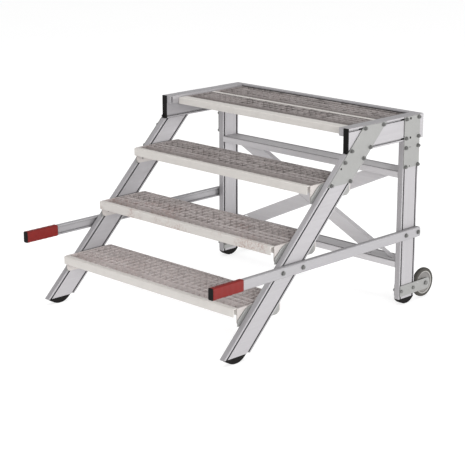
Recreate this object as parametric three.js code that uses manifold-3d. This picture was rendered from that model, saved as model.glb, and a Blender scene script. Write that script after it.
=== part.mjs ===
// Mobile ladder stand: three treads, a two-plank platform, two slotted-profile side frames,
// rear bracing, two lifting handles and two wheels. Millimetres, +Z up, the stairs face -Y.
import * as THREE from 'three';
import * as BufferGeometryUtils from 'three/addons/utils/BufferGeometryUtils.js';
import Module from 'manifold-3d';

const wasm = await Module();
wasm.setup();

// ---------- driving dimensions ----------
const GAP = 0.3; // clearance left between pieces that touch
const HEIGHT = 800; // floor to the top of the platform rails
const RISE = 200; // one step up, equal to one step back: a 45 degree flight
const STEPS = 3;
const TREAD_LENGTH = 1002; // across the stand, over the tread end plates
const BRACKET = 4.7; // room for the bracket plate between a tread end and its stringer
const PROFILE_W = 100; // slotted profile, wide face
const PROFILE_T = 25; // slotted profile, narrow face
const SLOT_INSET = 10.4; // slot centre from the profile's edge
const SLOT_MOUTH = 7.5;
const SLOT_POCKET = 12.5;
const SLOT_LIP = 2;
const SLOT_DEPTH = 6.5;
const FOOT_H = 25;
const LEG_FRONT = 1054; // y of the rear leg's front face, from where the flight meets the floor
const RAIL_FRONT = 706.5;
const NOSING = 91.2; // how far a tread's nose stands ahead of the stringer
const TREAD_DEPTH = 257;
const TREAD_H = 33;
const SHEET = 2.5; // nosing sheet of treads and planks
const BAR_T = 3; // bars of the gratings
const MESH = 32.8; // pitch of the gratings' bars
const TREAD_FLANGE = 25;
const FIRST_BAR = 69; // y of a tread's first bearing bar, from its nose
const PLATE = 4; // end plates, brackets, gussets and wheel plates
const END_PLATE_H = 70;
const PLANK_TOP = HEIGHT - 10;
const PLANK_H = 28;
const PLANK_FRONT = 758;
const LEDGE_W = 25.5;
const LEDGE_NOSE_LOW = 767; // underside of the ledge where it stands in front of the planks
const BEAM_TOP_UPPER = 568.5;
const BEAM_TOP_LOWER = 185.7;
const BRACE_W = 57;
const BRACE_T = 25;
const BRACE_WALL = 3;
const BRACE_SLOPE = 0.4625; // rise over run of the cross brace
const GUSSET_BOTTOM = 586;
const HANDLE_H = 42;
const HANDLE_T = 20;
const HANDLE_LIP = 6.5; // edges left standing beside the recess of the inner face
const HANDLE_Z = 305.5;
const HANDLE_REAR = 1160;
const GRIP_REAR = 108;
const GRIP_FRONT = -51;
const GRIP_CAP_FRONT = -55;
const GRIP_WALL = 2.5;
const WHEEL_R = 62.5;
const WHEEL_W = 22;
const AXLE_Y = 1227.5;
const AXLE_Z = 63.5;
const WHEEL_BOLT_Z = 60.5;
const WHEEL_PLATE_LOW = 36.5;
const WHEEL_PLATE_TOP = 83.5;
const WHEEL_PLATE_REAR = 1255;
const WHEEL_PLATE_FRONT = 1058.5;

// ---------- derived dimensions ----------
const INNER = TREAD_LENGTH / 2 + BRACKET; // inner face of a side frame
const OUTER = INNER + PROFILE_T; // outer face of a side frame
const FRAME_X = (INNER + OUTER) / 2;
const SLANT_W = PROFILE_W * Math.SQRT2; // level width of the inclined stringer
const FRONT_SLOT = SLOT_INSET * Math.SQRT2; // level distance from stringer edge to slot
const REAR_SLOT = SLANT_W - FRONT_SLOT;
const LEG_REAR = LEG_FRONT + PROFILE_W;
const LEG_MID = LEG_FRONT + PROFILE_W / 2;
const RAIL_BOTTOM = HEIGHT - PROFILE_W;
const BOLT_ROWS = [HEIGHT - SLOT_INSET, RAIL_BOTTOM + SLOT_INSET, 671, 592];
const HANDLE_X = OUTER + GAP + HANDLE_T / 2;
const BRACE_MID_Z = 368;
const PLANK_END = INNER - LEDGE_W - 0.4;
// the overall box runs from the grip caps to the back of the wheels
const CENTRE_Y = (GRIP_CAP_FRONT + AXLE_Y + WHEEL_R) / 2;

// ---------- finishes ----------
function finish(colour, roughness, metalness) {
  return new THREE.MeshStandardMaterial({ color: colour, roughness, metalness });
}
const ALUMINIUM = finish(0xc4c2c5, 0.45, 0.85);
const GALVANISED = finish(0xacaca9, 0.55, 0.6);
const TREAD_SHEET = finish(0xd6d1cb, 0.55, 0.5);
const BLACK_PLASTIC = finish(0x1e1c1a, 0.6, 0);
const BLACK_RUBBER = finish(0x232120, 0.85, 0);
const RED_PLASTIC = finish(0xa5322d, 0.5, 0);
const TYRE_RUBBER = finish(0x504c47, 0.85, 0);
const HUB_PLASTIC = finish(0x8c8782, 0.55, 0);
const STEEL = finish(0xa8a8a6, 0.4, 0.9);

const stand = new THREE.Group();
stand.name = 'mobile_ladder_stand';
stand.position.y = -CENTRE_Y;

function add(parent, name, geometry, material) {
  const mesh = new THREE.Mesh(geometry, material);
  mesh.name = name;
  parent.add(mesh);
  return mesh;
}

// ---------- shape helpers ----------
function polygon(points) {
  return new THREE.Shape(points.map(([a, b]) => new THREE.Vector2(a, b)));
}

// Extrudes a flat shape and lays its two axes and its length along the given directions.
function extrude(shape, length, across, up, start, segments = 12) {
  const geometry = new THREE.ExtrudeGeometry(shape, {
    depth: length, bevelEnabled: false, curveSegments: segments,
  });
  const u = new THREE.Vector3(...across);
  const v = new THREE.Vector3(...up);
  const basis = new THREE.Matrix4().makeBasis(u, v, u.clone().cross(v));
  geometry.applyMatrix4(basis.setPosition(new THREE.Vector3(...start)));
  return geometry;
}

// A flat plate drawn in the (y, z) plane, standing across X from x0 to x1.
function sidePlate(shape, x0, x1, segments = 8) {
  return extrude(shape, x1 - x0, [0, 1, 0], [0, 0, 1], [x0, 0, 0], segments);
}

function box(x0, x1, y0, y1, z0, z1) {
  const geometry = new THREE.BoxGeometry(x1 - x0, y1 - y0, z1 - z0);
  return geometry.translate((x0 + x1) / 2, (y0 + y1) / 2, (z0 + z1) / 2);
}

function rod(radius, x0, x1, y, z, segments = 16) {
  const geometry = new THREE.CylinderGeometry(radius, radius, x1 - x0, segments);
  return geometry.rotateZ(Math.PI / 2).translate((x0 + x1) / 2, y, z);
}

function mirrored(geometry) {
  const copy = geometry.clone().applyMatrix4(new THREE.Matrix4().makeScale(-1, 1, 1));
  const index = copy.index ? copy.index.array : copy.getAttribute('position').array;
  if (copy.index) {
    for (let i = 0; i < index.length; i += 3) {
      [index[i], index[i + 1]] = [index[i + 1], index[i]];
    }
    return copy;
  }
  for (let i = 0; i < index.length; i += 9) {
    for (let k = 0; k < 3; k += 1) {
      [index[i + k], index[i + 3 + k]] = [index[i + 3 + k], index[i + k]];
    }
  }
  return copy;
}

function toSolid(geometry) {
  const bare = geometry.clone();
  bare.deleteAttribute('normal');
  bare.deleteAttribute('uv');
  const merged = BufferGeometryUtils.mergeVertices(bare, 1e-4);
  return new wasm.Manifold(new wasm.Mesh({
    numProp: 3,
    vertProperties: new Float32Array(merged.getAttribute('position').array),
    triVerts: new Uint32Array(merged.index.array),
  }));
}

function toGeometry(solid) {
  const mesh = solid.getMesh();
  const geometry = new THREE.BufferGeometry();
  geometry.setAttribute('position', new THREE.BufferAttribute(new Float32Array(mesh.vertProperties), 3));
  geometry.setIndex(new THREE.BufferAttribute(new Uint32Array(mesh.triVerts), 1));
  return geometry;
}

function joined(first, ...others) {
  return toGeometry(others.reduce((sum, g) => sum.add(toSolid(g)), toSolid(first)));
}

function cut(body, ...tools) {
  return toGeometry(tools.reduce((rest, g) => rest.subtract(toSolid(g)), toSolid(body)));
}

function kept(body, region) {
  return toGeometry(toSolid(body).intersect(toSolid(region)));
}

function roundHole(shape, y, z, radius) {
  const path = new THREE.Path();
  path.absarc(y, z, radius, 0, Math.PI * 2, true);
  shape.holes.push(path);
}

// ---------- slotted aluminium profile ----------
function profileShape() {
  const w = PROFILE_W / 2;
  const t = PROFILE_T / 2;
  const c = 1.2; // broken corner
  const slot = (centre, side) => [
    [-SLOT_MOUTH / 2, t], [-SLOT_MOUTH / 2, t - SLOT_LIP],
    [-SLOT_POCKET / 2, t - SLOT_LIP], [-SLOT_POCKET / 2, t - SLOT_DEPTH],
    [SLOT_POCKET / 2, t - SLOT_DEPTH], [SLOT_POCKET / 2, t - SLOT_LIP],
    [SLOT_MOUTH / 2, t - SLOT_LIP], [SLOT_MOUTH / 2, t],
  ].map(([a, b]) => [centre - a * side, b * side]);
  const at = w - SLOT_INSET;
  const shape = polygon([
    [-w, -t + c], [-w + c, -t], ...slot(-at, -1), ...slot(at, -1), [w - c, -t],
    [w, -t + c], [w, t - c], [w - c, t], ...slot(at, 1), ...slot(-at, 1), [-w + c, t], [-w, t - c],
  ]);
  const wall = 3;
  const room = at - SLOT_POCKET / 2 - wall;
  for (const [a, b] of [[-room, -wall / 2], [wall / 2, room]]) {
    const h = t - wall;
    const chamber = [
      [a, c - h], [a, h - c], [a + c, h], [b - c, h], [b, h - c], [b, c - h], [b - c, -h], [a + c, -h],
    ];
    shape.holes.push(new THREE.Path(chamber.map(([x, y]) => new THREE.Vector2(x, y))));
  }
  return shape;
}
const PROFILE = profileShape();

// The inclined stringer: cut level over the foot and level again under the platform rail.
function stringer() {
  const d = Math.SQRT1_2;
  const run = (RAIL_BOTTOM + 200) / d;
  const mid = SLANT_W / 2;
  const start = [FRAME_X, mid - 100, -100];
  const bar = extrude(PROFILE, run, [0, -d, d], [1, 0, 0], start);
  return kept(bar, box(INNER - 5, OUTER + 5, -200, 1200, FOOT_H, RAIL_BOTTOM - GAP));
}

// The leg stands under the rail and is drilled for the two bolts of its wheel plates.
function rearLeg() {
  const length = RAIL_BOTTOM - GAP - FOOT_H;
  const bar = extrude(PROFILE, length, [0, 1, 0], [-1, 0, 0], [FRAME_X, LEG_MID, FOOT_H]);
  const holes = wheelBoltYs.map((y) => rod(4.5, INNER - 5, OUTER + 5, y, WHEEL_BOLT_Z));
  return cut(bar, ...holes);
}
const wheelBoltYs = [LEG_FRONT + SLOT_INSET, LEG_REAR - SLOT_INSET];

function sideRail() {
  const front = RAIL_FRONT + PLATE + GAP;
  const length = LEG_REAR - GAP - front;
  return extrude(PROFILE, length, [0, 0, 1], [1, 0, 0], [FRAME_X, front, HEIGHT - PROFILE_W / 2]);
}

// A pressed-in plug closes the front of the rail: a face plate and two pegs.
function railCap() {
  const room = PROFILE_W / 2 - SLOT_INSET - SLOT_POCKET / 2 - 3;
  const z = HEIGHT - PROFILE_W / 2;
  const back = RAIL_FRONT + PLATE;
  const face = box(INNER, OUTER, RAIL_FRONT, back, z - PROFILE_W / 2, z + PROFILE_W / 2);
  const peg = (a, b) => box(INNER + 4.6, OUTER - 4.6, back - 0.5, back + 14, z + a + 0.9, z + b - 0.9);
  return joined(face, peg(-room, -1.5), peg(1.5, room));
}

// A half-moon rubber foot with a small flat where it meets the floor.
function footGeometry(y0, y1) {
  const flat = 8;
  const half = (y1 - y0) / 2;
  const mid = (y0 + y1) / 2;
  const top = FOOT_H - GAP;
  const centre = (top * top + half * half - flat * flat) / (2 * top);
  const radius = Math.hypot(centre, flat);
  const from = -Math.acos(half / radius);
  const to = -Math.acos(flat / radius);
  const points = [];
  const steps = 9;
  for (let i = 0; i <= steps; i += 1) {
    const a = from + ((to - from) * i) / steps;
    points.push([radius * Math.cos(a), Math.max(0, centre + radius * Math.sin(a))]);
  }
  const left = points.map(([y, z]) => [mid - y, z]);
  const right = points.map(([y, z]) => [mid + y, z]).reverse();
  return sidePlate(polygon([...left, ...right]), INNER + 0.2, OUTER - 0.2);
}

// ---------- gussets ----------
// The front gusset follows the stringer up across the rail; the rear one is square to the leg.
function frontGusset() {
  const low = GUSSET_BOTTOM;
  const high = HEIGHT - 1;
  const shape = polygon([
    [low + 1, low], [low + SLANT_W - 1, low], [high + SLANT_W - 1, high], [high + 1, high],
  ]);
  for (const z of BOLT_ROWS) {
    roundHole(shape, z + FRONT_SLOT, z, 4.3);
    roundHole(shape, z + REAR_SLOT, z, 4.3);
  }
  roundHole(shape, 649 + FRONT_SLOT, 649, 3.4);
  return sidePlate(shape, OUTER + GAP, OUTER + GAP + PLATE);
}

function rearGusset() {
  const shape = polygon([
    [LEG_FRONT + 0.5, GUSSET_BOTTOM], [LEG_REAR - 0.5, GUSSET_BOTTOM],
    [LEG_REAR - 0.5, HEIGHT - 1], [LEG_FRONT + 0.5, HEIGHT - 1],
  ]);
  for (const z of BOLT_ROWS) {
    roundHole(shape, LEG_FRONT + SLOT_INSET, z, 4.3);
    roundHole(shape, LEG_REAR - SLOT_INSET, z, 4.3);
    roundHole(shape, LEG_FRONT + 38, z, z > RAIL_BOTTOM ? 4 : 2.8);
  }
  return sidePlate(shape, OUTER + GAP, OUTER + GAP + PLATE);
}

// ---------- treads and planks ----------
// A slab pierced by a grid of rectangular openings; xs and ys are the edges of its bars in turn.
function openGrid(xs, ys, z0, z1) {
  const open = (i, j) => i % 2 === 1 && j % 2 === 1;
  const solid = (i, j) => i >= 0 && j >= 0 && i < xs.length - 1 && j < ys.length - 1 && !open(i, j);
  const position = [];
  const quad = (a, b, c, d) => position.push(...a, ...b, ...c, ...a, ...c, ...d);
  for (let i = 0; i < xs.length - 1; i += 1) {
    for (let j = 0; j < ys.length - 1; j += 1) {
      if (!solid(i, j)) {
        continue;
      }
      const [a, b, c, d] = [xs[i], xs[i + 1], ys[j], ys[j + 1]];
      quad([a, c, z1], [b, c, z1], [b, d, z1], [a, d, z1]);
      quad([a, d, z0], [b, d, z0], [b, c, z0], [a, c, z0]);
      if (!solid(i - 1, j)) {
        quad([a, d, z0], [a, c, z0], [a, c, z1], [a, d, z1]);
      }
      if (!solid(i + 1, j)) {
        quad([b, c, z0], [b, d, z0], [b, d, z1], [b, c, z1]);
      }
      if (!solid(i, j - 1)) {
        quad([a, c, z0], [b, c, z0], [b, c, z1], [a, c, z1]);
      }
      if (!solid(i, j + 1)) {
        quad([b, d, z0], [a, d, z0], [a, d, z1], [b, d, z1]);
      }
    }
  }
  const geometry = new THREE.BufferGeometry();
  return geometry.setAttribute('position', new THREE.BufferAttribute(new Float32Array(position), 3));
}

// Press-locked grating: a flanged nosing in front, bearing bars along the length, cross bars.
function grating(depth, height, flange, barLines, crossBars, halfLength, y, z) {
  const s = SHEET;
  const r = 3;
  const nosing = extrude(
    polygon([
      [0, -height], [s, -height], [s, -s], [flange, -s], [flange, 0], [r, 0], [r * 0.3, -r * 0.3], [0, -r],
    ]),
    halfLength * 2, [0, 1, 0], [0, 0, 1], [-halfLength, y, z],
  );
  const lines = [flange - BAR_T / 2, ...barLines, depth - BAR_T / 2];
  const posts = [BAR_T / 2 - halfLength, ...crossBars, halfLength - BAR_T / 2];
  const edges = (centres) => centres.flatMap((c) => [c - BAR_T / 2, c + BAR_T / 2]);
  const grid = openGrid(edges(posts), edges(lines).map((v) => v + y), z - height + 3, z);
  return joined(nosing, grid);
}

// Every second cross bar of the real 33 mm mesh, evenly about the middle.
function crossBars(count) {
  const lines = [];
  for (let k = 0; k < count; k += 1) {
    lines.push((k - (count - 1) / 2) * MESH * 2);
  }
  return lines;
}

function treadFront(step) {
  return step * RISE - NOSING;
}

// The end plate closes a tread and hangs below it, its lower corners rounded.
function treadEndPlate(step) {
  const y0 = treadFront(step) + 15;
  const y1 = treadFront(step) + TREAD_DEPTH - 6;
  const z1 = step * RISE - GAP;
  const z0 = step * RISE - END_PLATE_H;
  const r = 18;
  const shape = new THREE.Shape();
  shape.moveTo(y0, z1);
  shape.lineTo(y0, z0 + r);
  shape.absarc(y0 + r, z0 + r, r, Math.PI, Math.PI * 1.5, false);
  shape.lineTo(y1 - r, z0);
  shape.absarc(y1 - r, z0 + r, r, -Math.PI / 2, 0, false);
  shape.lineTo(y1, z1);
  for (const y of [y0 + 34, y1 - 34]) {
    roundHole(shape, y, z0 + 18, 4);
  }
  for (const offset of [FRONT_SLOT, REAR_SLOT]) {
    roundHole(shape, z0 + 42 + offset, z0 + 42, 4.3);
  }
  const x1 = TREAD_LENGTH / 2;
  return sidePlate(shape, x1 - PLATE, x1, 5);
}

// The grey bracket fills the room between tread and stringer; its front shoulder is rounded.
function treadBracket(step) {
  const y0 = treadFront(step) + 15;
  const z1 = step * RISE;
  const z0 = z1 - END_PLATE_H - 1;
  const shape = polygon([
    [y0, z0], [y0 + 212, z0], [y0 + 226, z0 + 14], [y0 + 226, z1 - 8], [y0 + 218, z1 - 1.5],
    [y0 + 72, z1 - 1.5], [y0 + 56, z1 - 4.5], [y0 + 43, z1 - 10], [y0 + 32, z1 - 18],
    [y0 + 22, z1 - 28], [y0 + 12, z1 - 37], [y0, z1 - 45],
  ]);
  for (const offset of [FRONT_SLOT, REAR_SLOT]) {
    roundHole(shape, z0 + 43 + offset, z0 + 43, 4.3);
  }
  const x0 = TREAD_LENGTH / 2 + GAP;
  return sidePlate(shape, x0, INNER - GAP, 5);
}

// The ledge carries the plank ends: flush top, web and a flange under the planks. In front of
// them it ends in a shallower nose, closed by an end wall with a notch behind it.
function ledge() {
  const x1 = INNER - GAP;
  const x0 = INNER - LEDGE_W;
  const low = PLANK_TOP - PLANK_H - GAP;
  const high = HEIGHT - 0.5;
  const y0 = RAIL_FRONT + PLATE;
  const y1 = LEG_REAR - GAP;
  const web = box(x0, x0 + 3, y0, y1, low - 3, high);
  const top = box(x0, x1, y0, y1, high - 3, high);
  const shelf = box(x0 - 20, x0 + 3, y0 + 50, y1, low - 3, low);
  const front = box(x0, x1, y0, y0 + 3, low - 3, high);
  const under = box(x0 - 1, x1 + 1, y0 - 1, PLANK_FRONT + 12, low - 4, LEDGE_NOSE_LOW);
  const notch = box(x0 - 1, x0 + 4, y0 + 3, y0 + 10, low - 4, high - 3);
  return cut(joined(web, top, shelf, front), under, notch);
}

// ---------- rear bracing ----------
// One brace of the cross, open to the rear, rising with x when rise is +1.
function brace(rise) {
  const angle = Math.atan(BRACE_SLOPE);
  const c = Math.cos(angle);
  const s = Math.sin(angle) * rise;
  const half = 560;
  const y0 = LEG_MID - BRACE_T / 2;
  const t = BRACE_WALL;
  const shape = polygon([
    [-BRACE_W / 2, 0], [BRACE_W / 2, 0], [BRACE_W / 2, -BRACE_T], [BRACE_W / 2 - t, -BRACE_T],
    [BRACE_W / 2 - t, -t], [t - BRACE_W / 2, -t], [t - BRACE_W / 2, -BRACE_T], [-BRACE_W / 2, -BRACE_T],
  ]);
  const start = [-half * c, y0, BRACE_MID_Z - half * s];
  const bar = extrude(shape, half * 2, [-s, 0, c], [0, -1, 0], start);
  const low = BEAM_TOP_LOWER + GAP;
  const high = BEAM_TOP_UPPER - PROFILE_T - GAP;
  const trimmed = kept(bar, box(-INNER + 1, INNER - 1, y0 - 5, y0 + 40, low, high));
  // the web is scalloped over the lower beam to reach the bolts of its foot
  const foot = (BEAM_TOP_LOWER - BRACE_MID_Z) / BRACE_SLOPE;
  const deep = 2 * (t + GAP);
  const scallop = new THREE.CylinderGeometry(62, 62, deep, 28);
  scallop.translate(foot * rise, y0, BEAM_TOP_LOWER - 36);
  return cut(trimmed, scallop);
}

// Where the braces cross they are halved: each loses the half that lies in the other's path.
function halving(rise, front) {
  const angle = Math.atan(BRACE_SLOPE);
  const c = Math.cos(angle);
  const s = Math.sin(angle) * rise;
  const w = BRACE_W / 2 + 0.6;
  const y0 = front ? LEG_MID - BRACE_T : LEG_MID - GAP / 2;
  const y1 = front ? LEG_MID + GAP / 2 : LEG_MID + BRACE_T;
  const shape = polygon([[-w, 0], [w, 0], [w, y0 - y1], [-w, y0 - y1]]);
  return extrude(shape, 240, [-s, 0, c], [0, -1, 0], [-120 * c, y0, BRACE_MID_Z - 120 * s]);
}

// ---------- handles ----------
// A tube with a recessed inner face, its rear end cut off at the corners.
function handleTube() {
  const h = HANDLE_H / 2;
  const t = HANDLE_T / 2;
  const wall = 2;
  const floor = t - 6;
  const edge = h - HANDLE_LIP;
  const shape = polygon([
    [-t, -h + 3], [-t + 3, -h], [t - 2, -h], [t, -h + 2], [t, -edge], [floor, -edge],
    [floor, edge], [t, edge], [t, h - 2], [t - 2, h], [3 - t, h], [-t, h - 3],
  ]);
  const room = [[wall - t, wall - h], [wall - t, h - wall], [floor - wall, h - wall], [floor - wall, wall - h]];
  shape.holes.push(new THREE.Path(room.map(([a, b]) => new THREE.Vector2(a, b))));
  const start = GRIP_FRONT + 2;
  const bar = extrude(shape, HANDLE_REAR - start, [-1, 0, 0], [0, 0, 1], [HANDLE_X, start, HANDLE_Z]);
  const corner = (side) => {
    const z = HANDLE_Z + side * h;
    const points = [[HANDLE_REAR - 6, z + side], [HANDLE_REAR + 1, z + side], [HANDLE_REAR + 1, z - side * 6]];
    return sidePlate(polygon(side > 0 ? points.reverse() : points), OUTER - 5, OUTER + 30);
  };
  return cut(bar, corner(1), corner(-1));
}

function roundedBlock(halfWidth, halfHeight, corner) {
  const points = [];
  const corners = [[1, 1, 0], [-1, 1, 1], [-1, -1, 2], [1, -1, 3]];
  for (const [sx, sz, quarter] of corners) {
    for (const k of [0, 1, 2]) {
      const a = ((quarter + k / 2) * Math.PI) / 2;
      points.push([
        sx * (halfWidth - corner) + corner * Math.cos(a), sz * (halfHeight - corner) + corner * Math.sin(a),
      ]);
    }
  }
  return polygon(points);
}

function gripSleeve() {
  const t = HANDLE_T / 2 + GRIP_WALL;
  const h = HANDLE_H / 2 + GRIP_WALL;
  const shape = roundedBlock(t, h, 6);
  const bore = [[-1, -1], [-1, 1], [1, 1], [1, -1]].map(
    ([a, b]) => new THREE.Vector2(a * (HANDLE_T / 2 + GAP), b * (HANDLE_H / 2 + GAP)),
  );
  shape.holes.push(new THREE.Path(bore));
  const start = [HANDLE_X, GRIP_FRONT, HANDLE_Z];
  return extrude(shape, GRIP_REAR - GRIP_FRONT, [-1, 0, 0], [0, 0, 1], start);
}

function gripCap() {
  const t = HANDLE_T / 2 + GRIP_WALL;
  const h = HANDLE_H / 2 + GRIP_WALL;
  const length = GRIP_FRONT - GAP - GRIP_CAP_FRONT;
  const start = [HANDLE_X, GRIP_CAP_FRONT, HANDLE_Z];
  const block = extrude(roundedBlock(t, h, 6), length, [-1, 0, 0], [0, 0, 1], start);
  const x = HANDLE_X;
  const z = HANDLE_Z;
  const peg = box(x - 1.5, x + 7.5, GRIP_FRONT - 2, GRIP_FRONT + 18, z - 18, z + 18);
  return joined(block, peg);
}

// ---------- wheels ----------
function wheelPlate(x0, x1) {
  const r = 16;
  const rear = WHEEL_PLATE_REAR - r;
  const shape = new THREE.Shape();
  shape.moveTo(WHEEL_PLATE_FRONT, WHEEL_PLATE_LOW);
  shape.lineTo(rear, WHEEL_PLATE_LOW);
  shape.absarc(rear, WHEEL_PLATE_LOW + r, r, -Math.PI / 2, 0, false);
  shape.absarc(rear, WHEEL_PLATE_TOP - r, r, 0, Math.PI / 2, false);
  shape.lineTo(WHEEL_PLATE_FRONT, WHEEL_PLATE_TOP);
  for (const y of wheelBoltYs) {
    roundHole(shape, y, WHEEL_BOLT_Z, 4.5);
  }
  roundHole(shape, AXLE_Y, AXLE_Z, 5.5);
  return sidePlate(shape, x0, x1, 5);
}

function turned(profile, segments) {
  const points = profile.map(([r, x]) => new THREE.Vector2(r, x));
  return new THREE.LatheGeometry(points, segments).rotateZ(-Math.PI / 2);
}

const TYRE_BORE = 50;
function tyreGeometry() {
  const w = WHEEL_W / 2;
  const R = WHEEL_R;
  return turned([
    [TYRE_BORE, -w + 1], [R - 7, -w], [R - 2.5, -w + 2.2], [R, -w + 6],
    [R, w - 6], [R - 2.5, w - 2.2], [R - 7, w], [TYRE_BORE, w - 1], [TYRE_BORE, -w + 1],
  ], 40);
}

function hubGeometry() {
  const bore = 5.8;
  const rim = TYRE_BORE - GAP;
  return turned([
    [bore, -12], [14, -12], [14, -5], [43, -4], [45.5, -9], [rim, -9],
    [rim, 9], [45.5, 9], [43, 4], [14, 5], [14, 12], [bore, 12], [bore, -12],
  ], 32);
}

// A through bolt lying along X: hexagon head outside, nut inside.
function throughBolt(radius, y, z) {
  const x0 = INNER - GAP - PLATE;
  const x1 = OUTER + GAP + PLATE;
  const head = rod(radius * 1.9, x1 + 0.2, x1 + radius * 1.3, y, z, 6);
  const nut = rod(radius * 1.9, x0 - radius * 1.1, x0 - 0.2, y, z, 6);
  return joined(rod(radius, x0 - radius * 1.3, x1 + 1, y, z, 14), head, nut);
}

// ---------- assembly ----------
for (const side of ['right', 'left']) {
  const frame = new THREE.Group();
  frame.name = `${side}_side`;
  stand.add(frame);
  const place = (name, geometry, material) => {
    add(frame, `${name}_${side}`, side === 'left' ? mirrored(geometry) : geometry, material);
  };
  place('stringer', stringer(), ALUMINIUM);
  place('rear_leg', rearLeg(), ALUMINIUM);
  place('platform_rail', sideRail(), ALUMINIUM);
  place('rail_end_cap', railCap(), BLACK_PLASTIC);
  place('platform_ledge', ledge(), ALUMINIUM);
  place('gusset_front', frontGusset(), GALVANISED);
  place('gusset_rear', rearGusset(), GALVANISED);
  place('foot_front', footGeometry(FOOT_H + 9, FOOT_H + 117), BLACK_RUBBER);
  place('foot_rear', footGeometry(LEG_FRONT + 1, LEG_REAR - 1), BLACK_RUBBER);
  place('handle_bar', handleTube(), ALUMINIUM);
  place('handle_grip', gripSleeve(), RED_PLASTIC);
  place('grip_cap', gripCap(), BLACK_PLASTIC);
  place('wheel_plate_outer', wheelPlate(OUTER + GAP, OUTER + GAP + PLATE), GALVANISED);
  place('wheel_plate_inner', wheelPlate(INNER - GAP - PLATE, INNER - GAP), GALVANISED);
  place('wheel_plate_bolt_front', throughBolt(4, wheelBoltYs[0], WHEEL_BOLT_Z), STEEL);
  place('wheel_plate_bolt_rear', throughBolt(4, wheelBoltYs[1], WHEEL_BOLT_Z), STEEL);
  place('axle_bolt', throughBolt(5, AXLE_Y, AXLE_Z), STEEL);
  for (let step = 1; step <= STEPS; step += 1) {
    place(`tread_${step}_end_plate`, treadEndPlate(step), TREAD_SHEET);
    place(`tread_${step}_bracket`, treadBracket(step), GALVANISED);
  }
  const wheel = new THREE.Group();
  wheel.name = `${side}_wheel`;
  wheel.position.set(side === 'left' ? -FRAME_X : FRAME_X, AXLE_Y, AXLE_Z);
  frame.add(wheel);
  add(wheel, `wheel_tyre_${side}`, tyreGeometry(), TYRE_RUBBER);
  add(wheel, `wheel_hub_${side}`, hubGeometry(), HUB_PLASTIC);
}

const gratingHalf = TREAD_LENGTH / 2 - PLATE - GAP;
const treadBars = [0, 1, 2, 3, 4, 5].map((k) => FIRST_BAR + k * MESH);
for (let step = 1; step <= STEPS; step += 1) {
  const tread = grating(
    TREAD_DEPTH, TREAD_H, TREAD_FLANGE, treadBars, crossBars(14), gratingHalf,
    treadFront(step), step * RISE,
  );
  add(stand, `tread_${step}`, tread, TREAD_SHEET);
}

const plankDepth = (LEG_REAR - GAP - PLANK_FRONT - 0.6) / 2;
const plankFront = grating(
  plankDepth, PLANK_H, 48, [0, 1, 2, 3].map((k) => 84 + k * MESH), crossBars(14), PLANK_END,
  PLANK_FRONT, PLANK_TOP,
);
const plankRear = grating(
  plankDepth, PLANK_H, 24, [0, 1, 2, 3].map((k) => 57 + k * MESH), crossBars(14), PLANK_END,
  PLANK_FRONT + plankDepth + 0.6, PLANK_TOP,
);
add(stand, 'platform_plank_front', plankFront, TREAD_SHEET);
add(stand, 'platform_plank_rear', plankRear, TREAD_SHEET);

const rearRail = extrude(
  PROFILE, OUTER * 2, [0, 0, -1], [0, 1, 0],
  [-OUTER, LEG_REAR + PROFILE_T / 2, HEIGHT - PROFILE_W / 2],
);
add(stand, 'platform_rail_rear', rearRail, ALUMINIUM);

for (const [name, top] of [['rear_beam_upper', BEAM_TOP_UPPER], ['rear_beam_lower', BEAM_TOP_LOWER]]) {
  const half = INNER - GAP;
  const beam = extrude(PROFILE, half * 2, [0, 1, 0], [0, 0, 1], [-half, LEG_MID, top - PROFILE_T / 2]);
  add(stand, name, beam, ALUMINIUM);
}

add(stand, 'cross_brace_falling', cut(brace(-1), halving(1, false)), ALUMINIUM);
add(stand, 'cross_brace_rising', cut(brace(1), halving(-1, true)), ALUMINIUM);

export default stand;
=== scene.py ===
"""Mobile ladder stand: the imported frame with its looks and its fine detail."""
import math
import random

import bpy
from mathutils import Matrix, Vector


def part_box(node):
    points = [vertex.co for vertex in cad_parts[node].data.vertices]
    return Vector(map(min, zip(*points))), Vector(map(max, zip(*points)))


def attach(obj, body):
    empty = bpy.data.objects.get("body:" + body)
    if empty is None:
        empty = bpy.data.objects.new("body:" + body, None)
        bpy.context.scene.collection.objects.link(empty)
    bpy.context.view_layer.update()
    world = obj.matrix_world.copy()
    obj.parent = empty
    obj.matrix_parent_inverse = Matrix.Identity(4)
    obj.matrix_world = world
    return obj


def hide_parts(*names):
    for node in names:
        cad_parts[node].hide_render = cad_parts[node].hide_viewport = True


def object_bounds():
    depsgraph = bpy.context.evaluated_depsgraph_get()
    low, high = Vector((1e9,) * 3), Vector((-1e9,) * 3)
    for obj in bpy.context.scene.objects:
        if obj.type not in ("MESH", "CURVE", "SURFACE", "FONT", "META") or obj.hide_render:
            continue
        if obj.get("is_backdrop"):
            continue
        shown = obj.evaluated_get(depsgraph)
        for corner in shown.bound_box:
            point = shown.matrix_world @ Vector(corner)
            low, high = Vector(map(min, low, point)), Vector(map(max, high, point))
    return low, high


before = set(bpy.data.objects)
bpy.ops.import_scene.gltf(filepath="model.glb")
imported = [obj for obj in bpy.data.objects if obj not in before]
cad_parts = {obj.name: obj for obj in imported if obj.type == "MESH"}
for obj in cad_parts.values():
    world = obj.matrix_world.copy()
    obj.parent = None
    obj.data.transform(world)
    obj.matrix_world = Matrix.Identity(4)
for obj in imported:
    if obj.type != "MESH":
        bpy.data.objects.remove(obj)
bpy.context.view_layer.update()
random.seed(7)

MM = 0.001
STEPS = (1, 2, 3)
SIDES = (("right", 1.0), ("left", -1.0))

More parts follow.
